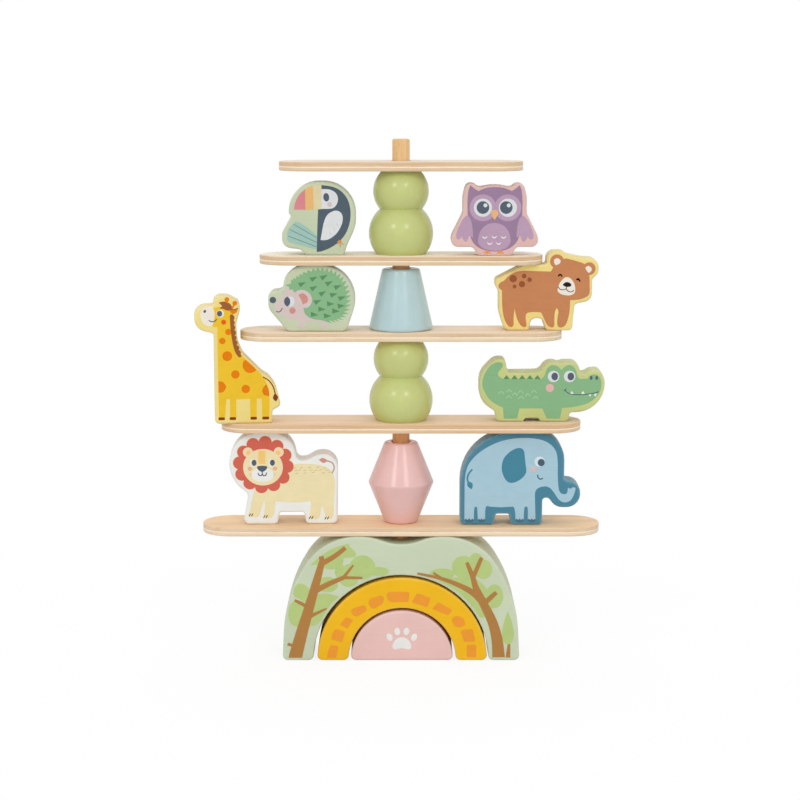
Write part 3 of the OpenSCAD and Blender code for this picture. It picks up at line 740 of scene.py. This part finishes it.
def crocodile():
    p = Print("crocodile", left=-47.6)
    p.ink("leaf", blob([
        (-45.5, 26), (-44.2, 33), (-40.5, 39), (-36.5, 41.6), (-32.8, 41.8), (-31, 40.2, SHARP),
        (-32.4, 37.4), (-34.4, 35), (-34.2, 32.4), (-31.6, 30.5, SHARP), (-18, 30.3), (-4, 30.4, SHARP),
        (-2.2, 33), (-0.6, 37.2), (2, 39.7), (5, 39.8), (7.6, 38.4), (9.3, 36.4, SHARP), (11, 38.2),
        (14, 40), (17, 39.3), (19.4, 36.5), (20.5, 32.4), (22, 30.3, SHARP), (27.6, 30.4, SHARP),
        (29.4, 32.6), (32, 33.4), (35, 32.6), (36.8, 30), (37.3, 26), (36.3, 21), (33.5, 17), (28.5, 13.5),
        (22, 11.3), (15, 10.2), (10.2, 9.9, SHARP), (8.8, 2.3, SHARP), (-0.4, 2.3, SHARP),
        (-3.6, 9.5, SHARP), (-19.5, 9.5, SHARP), (-21, 2.3, SHARP), (-30.4, 2.3, SHARP), (-31, 10, SHARP),
        (-35, 12), (-39.5, 15), (-43, 19.5)]))
    for x in (-28.7, -23.1, -17.8, -12.4, -7.2):
        p.ink("deep_leaf", rounded([(x - 2.2, 30.2), (x + 2.2, 30.2), (x, 33)], 0.3))
    for x, z in ((-32.3, 21), (-26.7, 22.2), (-18.8, 21.6), (-9.5, 21.8), (-22.8, 19.9), (-13.8, 19.4),
                 (-27, 17.9), (-18.3, 17.4), (-8.2, 17.4)):
        p.ink("mint", stroke([(x - 1.7, z - 1), (x, z + 0.7), (x + 1.7, z - 1)], 0.5, steps=1))
    for x in (4, 15.2):
        p.ink("cool_white", disc(x, 32, 4))
        p.ink("slate", disc(x + 0.8, 32, 2.3, 2.7))
    p.ink("blush", disc(1.5, 23.9, 2.8))
    for x in (30.2, 34):
        p.ink("slate", disc(x, 31, 0.95, 1.4))
    for x in (16.8, 24.5):
        p.ink("white", [(x - 1.3, 19.6), (x + 1.3, 19.8), (x + 0.1, 21.8)])
    for x in (29.5, 33.2):
        p.ink("white", [(x - 1.1, 19.5), (x + 0.1, 17.7), (x + 1.2, 20)])
    p.ink("slate", stroke([
        (12, 22.6), (13.4, 21), (16, 19.7), (20, 19.2), (26, 19.4), (31, 20), (35.4, 21.2)], 0.6))
    p.ink("slate", stroke([(11.6, 22), (12.7, 23.2)], 0.6, steps=1))
    p.build()


def hedgehog():
    p = Print("hedgehog", left=-30.3)
    p.ink("pale_rose", blob([
        (-26.6, 17.5), (-25, 20), (-21, 24.4), (-18.2, 29), (-16, 31.5), (-6, 34), (4, 26), (9, 14),
        (9.5, 8), (0, 7.2), (-8, 7.4), (-14, 8.6), (-20, 11), (-25, 14.4)]))
    for x in (-7.4, 8):
        p.ink("pale_rose", blob([
            (x - 2.8, 3.2), (x - 2.4, 5), (x - 0.8, 6), (x - 0.6, 8), (x + 1, 8), (x + 1, 6), (x + 2.6, 5),
            (x + 2.8, 3.2), (x, 2.8)]))
    back = [
        (-14.4, 34.4), (-10.5, 36.8), (-5, 40), (2, 41.8), (8.6, 41.6), (14.8, 39.6), (19.4, 35.4),
        (22.2, 29), (23, 22), (22.2, 15.6), (19.4, 10.8), (15, 8.6), (9.5, 8.2)]
    front = [
        (6.4, 8), (1.2, 8.6), (-2.6, 10), (-5.2, 12.6), (-6, 16), (-7, 22), (-9.5, 27.4), (-12.9, 27.5),
        (-13.1, 29.3), (-15.7, 29), (-15.7, 31), (-18.6, 32.3), (-14.6, 33.4)]
    p.ink("leaf", spines(back, 27, 2.3, 1.5) + front)
    for x, z, tilt in (
            (-7, 33, 12), (1, 36.7, 14), (8, 37.8, 18), (1, 30.2, 16), (11.5, 33.6, 14), (17.3, 31, 8),
            (7, 26.6, 18), (14.4, 25.6, 2), (20.2, 23.4, 8), (3.5, 20.8, 10), (12.2, 19.2, -14),
            (19.6, 17.8, -6), (6.2, 15.5, -14), (15.8, 14.2, -16), (1, 11.8, -18), (10, 10.9, -14)):
        p.ink("quill", rounded(turned([(-2.6, 1.4), (-1.5, -2), (3, 0.8)], x, z, tilt), 0.3))
    p.ink("pale_rose", blob([
        (-11.6, 27), (-8.4, 28.9), (-4.4, 28.4), (-1.2, 25.6), (-0.2, 21.8), (-1.6, 18.2), (-4.2, 16.6),
        (-8, 17.4), (-11, 21)]))
    p.ink("salmon", blob([
        (-9.6, 25.4, SHARP), (-6.5, 26.7), (-3.6, 24.6), (-3, 21.6), (-4, 20), (-6.6, 19, SHARP),
        (-7.6, 22)]))
    p.ink("slate", disc(-27.1, 22, 2.2))
    p.ink("cool_white", disc(-14.8, 21, 2.6, 3.4))
    p.ink("slate", blob([
        (-17.2, 24.4, SHARP), (-15.4, 22.6), (-15.4, 19.4), (-17.2, 17.4, SHARP), (-19.1, 19.4),
        (-19.1, 22.6)]))
    p.ink("salmon", disc(-13.7, 14.7, 2.1, 2.2))
    p.ink("slate", stroke([(-24.6, 14.2), (-23.2, 13.7), (-21.6, 14.7), (-20.8, 16.2)], 0.65))
    p.build()


def bear():
    p = Print("bear", left=-36.2)
    p.ink("tan", disc(6.2, 48, 4.8), disc(28.4, 43, 4.4))
    p.ink("tan", blob([
        (-31.6, 28, SHARP), (-33.6, 29.6), (-33.9, 31.8), (-32.4, 33.6), (-30.2, 34.6, SHARP), (-27, 38),
        (-22.5, 40.6), (-17, 41.5), (-8, 41.3), (2, 41, SHARP), (5, 45.5), (11, 49.8), (16, 49.2),
        (21, 47.8), (25, 46.2), (28, 42), (28.6, 38), (28.9, 32), (28.8, 26), (27, 23.7), (22, 21.7),
        (15.6, 21.2, SHARP), (15.2, 13), (13.6, 6), (11.6, 3), (8.8, 2.2), (7, 4), (7, 9), (7.6, 13),
        (6.4, 15.6), (5.2, 13), (4.8, 8), (4.8, 3.6), (3, 2.2), (0, 4), (-2.4, 8.5), (-4, 12), (-6, 12.9),
        (-12, 12.8), (-14.6, 11.6), (-15, 8), (-14.4, 3.8), (-16, 2.4), (-18.6, 4), (-21, 8.4),
        (-22.8, 15.4, SHARP), (-23.4, 9), (-23.4, 3.8), (-25.2, 2.5), (-27.6, 4), (-30, 9), (-31.2, 16),
        (-31.5, 22)]))
    for x, z, r in (
            (-23.9, 36.1, 2.55), (-16.4, 37.9, 1.65), (-12.6, 35.4, 1.6), (-17.8, 32.3, 2.15),
            (-22.9, 30.7, 1.35)):
        p.ink("cocoa", disc(x, z, r))
    p.ink("ivory", blob([
        (4.4, 49.4), (6.6, 50.2), (8.6, 48.6), (7.8, 46.4), (5.2, 45.4, SHARP), (4.2, 47.2)]))
    p.ink("ivory", blob([
        (25.9, 43.8), (27.8, 44.9), (30, 43.4), (29.8, 41.4), (28.2, 40, SHARP), (26.6, 41.8)]))
    p.ink("black", stroke([(7.4, 38.1), (8.5, 39), (9.6, 37.9)], 1.1))
    p.ink("black", stroke([(20, 35.5), (21, 36), (22.1, 34.5)], 1.1))
    p.ink("ivory", blob([
        (6.9, 29), (8.6, 33.6), (12, 36.9), (15.4, 36.4), (18.1, 33), (19, 29), (18.3, 26.1), (15.3, 24.6),
        (10.5, 25), (7.4, 26.8)]))
    p.ink("black", blob([(10.5, 32.2), (13, 33.8), (15.7, 32.8), (16.2, 31.3), (14.4, 30.4), (11.6, 30.8)]))
    p.ink("black", stroke([(7.2, 30.5), (8.4, 28.9), (10.8, 28.4), (12.6, 29.2), (13.1, 30.6)], 0.5))
    p.ink("black", stroke([(12.6, 29.2), (14.1, 27.5), (16.2, 26.9), (18, 28)], 0.5))
    p.build()


def toucan():
    p = Print("toucan", left=-25.7)
    p.ink("navy", blob([
        (1.7, 48, SHARP), (10, 46.6), (16, 43), (20, 37), (21.5, 29), (20.5, 21), (17.5, 14), (12.5, 8.5),
        (6.5, 4.7), (1, 2.7), (-1.8, 2.4, SHARP), (-1.6, 10), (-1.2, 22), (-0.7, 31.6, SHARP),
        (1.7, 31.8, SHARP)]))
    p.ink("beak_pink", blob([
        (-17.3, 31.2, SHARP), (-16.4, 36), (-13.6, 41.4), (-9.5, 45.2, SHARP), (-9.4, 31.2, SHARP)]))
    p.ink("beak_orange", blob([
        (-9.4, 45.3, SHARP), (-7, 46.6), (-4.1, 47.4, SHARP), (-3.8, 31.4, SHARP), (-9.3, 31.2, SHARP)]))
    p.ink("beak_cream", [(-4, 47.5), (1.6, 48), (1.6, 31.6), (-3.7, 31.4)])
    p.ink("cool_white", blob([
        (1.7, 45.3, SHARP), (7, 45), (11, 43), (12.8, 39.6), (12.5, 36), (10.5, 33), (7.5, 31.9),
        (1.6, 31.8, SHARP)]))
    p.ink("slate", disc(4.9, 39.7, 2, 2.9, 6))
    p.ink("dusk", disc(7.2, 34.8, 1.7))
    p.ink("cool_white", blob([
        (8.6, 29.8), (12, 30.6), (15, 29), (16.1, 25.6), (15.3, 21), (12, 15.2), (7, 11.3), (3.5, 10.4),
        (0.8, 10.5, SHARP), (2, 17), (3.3, 23), (5.5, 27.6)]))
    for x, z in ((12.3, 20.8), (10, 17.8), (7.4, 14.8)):
        p.ink("down", stroke([(x - 0.2, z + 1.1), (x + 0.5, z - 0.9)], 0.45, steps=1))
    p.ink("aqua", blob([
        (-1.8, 4, SHARP), (-10, 6), (-19.6, 8.8), (-22, 10.6), (-21.9, 15), (-20.5, 18.6), (-17.6, 22),
        (-15.4, 23), (-11, 21), (-5, 16.6), (-1.6, 13.4, SHARP)]))
    for far, near in (
            ((-17.5, 21.2), (-1.9, 12.2)), ((-20.1, 17.6), (-2.1, 8.9)), ((-21.3, 13.2), (-2.2, 6))):
        p.ink("feather", stroke([far, near], 0.45, steps=2))
    p.ink("claw_gold", disc(13.8, 9.5, 1.5, 0.9, 20))
    for x, z in ((16.5, 7.3), (14.5, 5.9), (12.6, 7.6)):
        p.ink("claw_gold", stroke([(13.9, 9.4), (x, z)], 0.6, steps=1))
    p.build()


def owl():
    p = Print("owl", left=-29.75)
    side = [(18.7, 32), (18.4, 26), (17.6, 20), (16.8, 14), (14.6, 9), (10.4, 5.4), (5, 3.5)]
    head = [
        (0, 46.9), (6, 46.3), (11.4, 44.2, SHARP), (14, 45.8), (16.8, 48.2, SHARP), (18.2, 44), (18.7, 38)]
    right = head + side
    p.ink("plum", blob(right + [(0, 3.1)] + [(-q[0], *q[1:]) for q in right[:0:-1]]))
    wing = blob([
        (19, 27.4), (16.4, 24.4), (15.1, 18), (14.9, 12.6, SHARP), (16.6, 13.4), (17.6, 13.8, SHARP),
        (18.6, 10.8), (20.2, 9.8), (22, 12), (22.2, 13.8, SHARP), (23.6, 11.8), (25.4, 11.3), (26.4, 13.6),
        (25, 19), (22.2, 24.4)])
    p.ink("lilac", wing, flipped(wing))
    for x in (-8.2, 8.8):
        p.ink("lilac", disc(x, 32.8, 9.1))
    for x, gaze in ((-8.2, -8.2), (8.8, 7.7)):
        p.ink("cool_white", disc(x, 32.9, 6.2))
        p.ink("slate", disc(gaze, 33, 4.3))
        p.ink("cool_white", disc(gaze + 1.7, 34.5, 1.35))
    p.ink("beak_gold", blob([
        (-0.1, 31.4), (1.9, 30.6), (2, 28.2), (-0.2, 24.4, SHARP), (-2.3, 28.2), (-2.2, 30.6)]))
    p.ink("lilac", blob([
        (-0.3, 22.5), (5, 21.2), (9, 17.4), (10.7, 12), (10.4, 8.4), (7, 5), (0, 3.6), (-7.4, 5),
        (-11, 8.4), (-11.3, 12), (-9.6, 17.4), (-5.6, 21.2)]))
    for x, z in ((-6.8, 13), (-0.3, 13.2), (6, 13), (-3.4, 8.8), (2.7, 8.8)):
        p.ink("white", blob([
            (x - 2, z + 0.8, SHARP), (x, z - 0.4), (x + 2, z + 0.8, SHARP), (x + 0.9, z - 0.9),
            (x - 0.9, z - 0.9)]))
    for x in (-5, 3.9):
        for toe in (-1.9, 0, 1.9):
            p.ink("claw_orange", stroke([(x, 3.6), (x + toe, 1.9 if toe else 1.6)], 0.9, steps=1))
    p.build()


def trees():
    """Two plain trees up the legs of the outer arch, and a small pointed one at the edge."""
    p = Print("outer_arch")
    for x, z, rx, rz in (
            (-27, 67.4, 9, 8.6), (-41.6, 64, 4.8, 5), (-35, 64, 7, 6), (-16, 64.4, 7.6, 3.2),
            (-36.6, 58.8, 6.6, 5.4), (-51.6, 55, 7.4, 5.6), (52.4, 72.2, 5, 5.4), (43.6, 67.6, 8, 8),
            (57.6, 66, 6.2, 7), (28.6, 62.6, 8.6, 4), (65.6, 46.6, 6, 8.6)):
        p.ink("foliage", disc(x, z, rx, rz))
    p.ink("foliage", blob([
        (-63.6, 68.8, SHARP), (-58.6, 73.6), (-52, 78.4), (-45, 82), (-36.8, 84.4, SHARP), (-34.8, 81.2),
        (-31.6, 78), (-32.6, 75), (-40, 74.2, SHARP), (-41.4, 68.4), (-47, 66.2), (-53, 66.6),
        (-58, 69.2)]))
    p.ink("foliage", blob([
        (-61, 48, SHARP), (-52, 48.6), (-43.4, 46.4, SHARP), (-48.8, 40.8), (-53.2, 34.8), (-56.8, 28.4),
        (-60.6, 25.4, SHARP), (-65, 25.4, SHARP)]))
    p.ink("foliage", blob([
        (-73, 55), (-69, 55.6), (-65, 52.6), (-63, 47), (-66, 42), (-70.4, 44), (-75, 47), (-75.2, 51)]))
    p.ink("foliage", blob([
        (-79, 35), (-78, 40), (-74.6, 43), (-68.6, 42.4), (-67, 34), (-70, 25.2), (-74, 24.8),
        (-77.4, 27.2), (-79, 31)]))
    p.ink("foliage", blob([
        (20, 61.4, SHARP), (34, 60), (50, 60), (60, 52), (64, 40), (62.4, 31.4, SHARP), (55.4, 31.2, SHARP),
        (50.6, 38.4), (45.4, 44.4), (37, 51.6), (28.4, 56.8)]))
    p.ink("foliage", blob([
        (74.9, 36, SHARP), (77.8, 28), (79.4, 19.6), (78.4, 14), (75.2, 11.8), (72, 14), (71, 19.6),
        (72.4, 28)]))
    p.ink("trunk", limb([(75.4, 2.2), (76, 12)], 3.4, 1.8, level=True))
    p.ink("trunk", limb([(-74.6, 2), (-69.8, 20), (-64, 40), (-58.4, 60), (-55, 72.4)], 9.6, 4, level=True))
    p.ink("trunk", limb([(68.8, 2.4), (67.4, 16), (63.8, 29), (56.6, 43.6)], 8.8, 5.6, level=True))
    for path, width, tip in (
            ([(-54.9, 71), (-55.8, 75.4)], 3.8, 3.4), ([(-56, 69.8), (-47, 75), (-38.8, 81.4)], 4, 2.9),
            ([(-60, 50.6), (-50, 55.8), (-39.4, 60.4)], 4.4, 2.8), ([(-40.8, 59.4), (-33.4, 69)], 2.6, 1.2),
            ([(-40.6, 60.1), (-27, 59.8)], 2.4, 1.5), ([(-65.4, 39), (-74.6, 43.8)], 3, 1.8),
            ([(-63.6, 32.2), (-52.2, 37.8)], 3, 1), ([(-73, 10), (-79.8, 12)], 2.4, 2),
            ([(58, 42), (50, 49.4), (40, 54.8), (28, 59.4), (11.4, 63)], 5.4, 1.5),
            ([(57, 43.6), (52.4, 53), (50, 61), (46, 71)], 5.4, 2.4),
            ([(50.4, 60), (56.3, 74.4)], 3.2, 2.6), ([(59.6, 42.6), (66.8, 49.4)], 3.8, 2.8),
            ([(28.6, 59.4), (22.6, 63.6)], 2, 1.4)):
        p.ink("trunk", limb(path, width, tip))
    p.build()


# The stones' corners are drawn a little small and are stretched to the arch
STONE_WIDER = 1.035
STONE_TALLER = 1.04
STONE_GROWTH = 1.04


def cobbles():
    """A row of rounded paving stones along the middle of the yellow arch."""
    p = Print("middle_arch")
    for stone in (
            [(-48.5, 10.8), (-43.3, 9.9), (-45, 2), (-51.4, 2.2), (-50, 7.2)],
            [(-45, 21.9), (-38.8, 20.1), (-40.9, 12.8), (-48.2, 15), (-47.2, 19.3)],
            [(-37.9, 30.3), (-33.4, 28.3), (-37.1, 22.5), (-42.2, 25.1)],
            [(-34.9, 34.7), (-32.8, 36.6), (-25.6, 38.7), (-23.9, 35), (-30.3, 30.9), (-33.1, 31.4)],
            [(-22.8, 40), (-21.7, 43), (-13.9, 45.4), (-12.4, 43.5), (-13.1, 40), (-19.1, 36.1), (-21.3, 37)],
            [(-10.5, 46.5), (-8.7, 47.8), (3.8, 47.8), (4.8, 46.5), (4, 41), (-7, 40.9), (-9.6, 42.2)],
            [(10.3, 46.9), (19.1, 43.6), (17, 37.4), (6.7, 40.7)],
            [(24.5, 40.7), (33.9, 35.3), (31, 31.6), (20.5, 36.1)],
            [(34.5, 30.1), (37.1, 31.1), (41.4, 29.8), (43, 25.2), (39.2, 23.2), (36, 24), (33.6, 27.9)],
            [(39.8, 20.3), (41.4, 21.4), (47.9, 21.9), (49.6, 14.1), (48.7, 13.4), (42.3, 13)],
            [(44, 10.8), (50.3, 10.9), (50.2, 2.3), (44, 2.7)]):
        points = [Vector((x * STONE_WIDER, z * STONE_TALLER)) for x, z in stone]
        middle = sum(points, Vector((0, 0))) / len(points)
        p.ink("cobble", rounded([tuple(middle.lerp(point, STONE_GROWTH)) for point in points], 1.1))
    p.build()


def paw():
    """A plain white paw mark on the half disc."""
    p = Print("half_disc")
    p.ink("white", blob([
        (0, 17), (4.4, 15.2), (6.6, 10.8), (5.2, 8.2), (0, 9), (-5.2, 8.2), (-6.6, 10.8), (-4.4, 15.2)]))
    for x, z, tilt in ((-8.6, 17, 24), (-3.2, 21.2, 8), (3.2, 21.2, -8), (8.6, 17, -24)):
        p.ink("white", disc(x, z, 2, 2.8, tilt))
    p.build()


for draw in (lion, elephant, giraffe, crocodile, hedgehog, bear, toucan, owl, trees, cobbles, paw):
    draw()

# Finishes of the solids

for node in nodes.values():
    slot = node.material_slots[0].material.name
    if slot in PAINTS:
        finish = paint("paint_" + node.name, PAINTS[slot], BLOCK_SHEEN if slot.endswith("_block") else 0.0)
    elif slot in LACQUERS:
        finish = lacquer("lacquer_" + node.name, LACQUERS[slot])
    elif slot == "beech":
        finish = beech("beech_dowel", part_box("plank_5")[1].z)
    else:
        low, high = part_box(node.name)
        tones = (VENEERS_WITH_PAINTED_LIGHT[node.name], PLIES[node.name])
        finish = plywood("plywood_" + node.name, low.z, high.z - low.z, *tones)
    node.material_slots[0].material = finish


WELD = 1e-6
CREASE = math.radians(50)


def soft_shading():
    """A modifier's node group that shades a solid smoothly, except over sharp edges."""
    group = bpy.data.node_groups.new("soft_shading", "GeometryNodeTree")
    for direction in ("INPUT", "OUTPUT"):
        group.interface.new_socket("Geometry", in_out=direction, socket_type="NodeSocketGeometry")

    def step(kind, before, inputs, **settings):
        return add_node(group, kind, {"Geometry": before, **inputs}, **settings).outputs[0]

    angle = add_node(group, "GeometryNodeInputMeshEdgeAngle").outputs["Unsigned Angle"]
    sharp = add_node(group, "FunctionNodeCompare", {0: angle, 1: CREASE}).outputs[0]
    solid = add_node(group, "NodeGroupInput").outputs[0]
    solid = step("GeometryNodeMergeByDistance", solid, {"Distance": WELD})
    solid = step("GeometryNodeRemoveAttribute", solid, {"Name": "custom_normal"})
    solid = step("GeometryNodeSetShadeSmooth", solid, {"Shade Smooth": True})
    creased = {"Selection": sharp, "Shade Smooth": False}
    solid = step("GeometryNodeSetShadeSmooth", solid, creased, domain="EDGE")
    add_node(group, "NodeGroupOutput", {0: solid})
    return group


shading = soft_shading()
for node in nodes.values():
    node.modifiers.new("soft_shading", "NODES").node_group = shading
    weighted = node.modifiers.new("flat_faces", "WEIGHTED_NORMAL")
    weighted.keep_sharp = True

# Studio, in metres

WHITE = (1, 1, 1, 1)
FLOOR_GREY = (0.75, 0.75, 0.75, 1)
FLOOR_REACH = 4.0
FLOOR_DROP = 0.0002
AMBIENT = 0.86
SHADOW_SHARE = 0.14
SHADOW_NEAR = 0.15
SHADOW_FAR = 0.45
TOWER_MIDDLE = Vector((0, 0, 0.18))
LAMP_DISTANCE = 5.0


def seen_directly(tree):
    """1 for rays that show the background as it is: camera, mirror and glass rays."""
    path = add_node(tree, "ShaderNodeLightPath").outputs
    total = path["Is Camera Ray"]
    for kind in ("Is Glossy Ray", "Is Transmission Ray"):
        total = add_node(tree, "ShaderNodeMath", {0: total, 1: path[kind]}, operation="MAXIMUM").outputs[0]
    return total


def white_floor():
    """A floor that is seen as white with the object's faint shadow, and lights the object as grey."""
    mesh = bpy.data.meshes.new("floor")
    turns = [math.radians(angle) for angle in range(0, 360, 6)]
    rim = [(FLOOR_REACH * math.cos(turn), FLOOR_REACH * math.sin(turn), -FLOOR_DROP) for turn in turns]
    mesh.from_pydata(rim, [], [list(range(len(rim)))])
    floor = new_object("floor", mesh)
    material = bpy.data.materials.new("floor")
    material.use_nodes = True
    tree = material.node_tree
    tree.nodes.remove(tree.nodes["Principled BSDF"])

    def add(kind, inputs):
        return add_node(tree, kind, inputs).outputs[0]

    place = add_node(tree, "ShaderNodeTexCoord").outputs["Object"]
    distance = add_node(tree, "ShaderNodeVectorMath", {0: place}, operation="LENGTH").outputs["Value"]
    far = add("ShaderNodeMapRange", {"Value": distance, "From Min": SHADOW_NEAR, "From Max": SHADOW_FAR})
    glow = add("ShaderNodeEmission", {"Color": WHITE, "Strength": 1 - SHADOW_SHARE})
    lit = add("ShaderNodeBsdfDiffuse", {"Color": (SHADOW_SHARE,) * 3 + (1,)})
    near = add("ShaderNodeAddShader", {0: glow, 1: lit})
    white = add("ShaderNodeEmission", {"Color": WHITE, "Strength": 1.0})
    shown = add("ShaderNodeMixShader", {0: far, 1: near, 2: white})
    plain = add("ShaderNodeBsdfDiffuse", {"Color": FLOOR_GREY})
    surface = add("ShaderNodeMixShader", {0: seen_directly(tree), 1: plain, 2: shown})
    feed(tree, tree.nodes["Material Output"].inputs["Surface"], surface)
    mesh.materials.append(material)


def white_world():
    """A world that is seen as white and lights the object at the ambient level."""
    world = bpy.data.worlds.new("studio")
    world.use_nodes = True
    tree = world.node_tree
    backdrop = tree.nodes["Background"]
    backdrop.inputs["Color"].default_value = WHITE
    fill = add_node(tree, "ShaderNodeBackground", {"Color": WHITE, "Strength": AMBIENT})
    ends = {0: seen_directly(tree), 1: fill.outputs[0], 2: backdrop.outputs[0]}
    both = add_node(tree, "ShaderNodeMixShader", ends).outputs[0]
    feed(tree, tree.nodes["World Output"].inputs["Surface"], both)
    bpy.context.scene.world = world


def softbox(name, azimuth, elevation, size, power):
    """A square lamp that looks at the middle of the tower; azimuth 0 is the front."""
    across = math.radians(azimuth)
    up = math.radians(elevation)
    out = Vector((math.sin(across) * math.cos(up), -math.cos(across) * math.cos(up), math.sin(up)))
    lamp = bpy.data.lights.new(name, "AREA")
    lamp.size = size
    lamp.energy = power
    holder = new_object(name, lamp)
    holder.location = TOWER_MIDDLE + out * LAMP_DISTANCE
    holder.rotation_euler = out.to_track_quat("Z", "Y").to_euler()


# The camera's place in metres, its dip below level in degrees, its lens and sensor in millimetres
CAMERA_AT = (-0.0007, -1.3506, 0.398)
CAMERA_DIP = 9.072
CAMERA_LENS = 87.75
CAMERA_SENSOR = 36

white_floor()
white_world()
softbox("left_softbox", azimuth=-29, elevation=28, size=1.1, power=28.5)
softbox("right_softbox", azimuth=22, elevation=28, size=1.1, power=28.5)
softbox("front_softbox", azimuth=0, elevation=14, size=2.4, power=13.0)

camera = bpy.data.cameras.new("camera")
camera.lens = CAMERA_LENS
camera.sensor_width = CAMERA_SENSOR
eye = new_object("camera", camera)
eye.location = CAMERA_AT
eye.rotation_euler = (math.radians(90 - CAMERA_DIP), 0, 0)
bpy.context.scene.camera = eye
bpy.context.scene.view_settings.view_transform = "Standard"
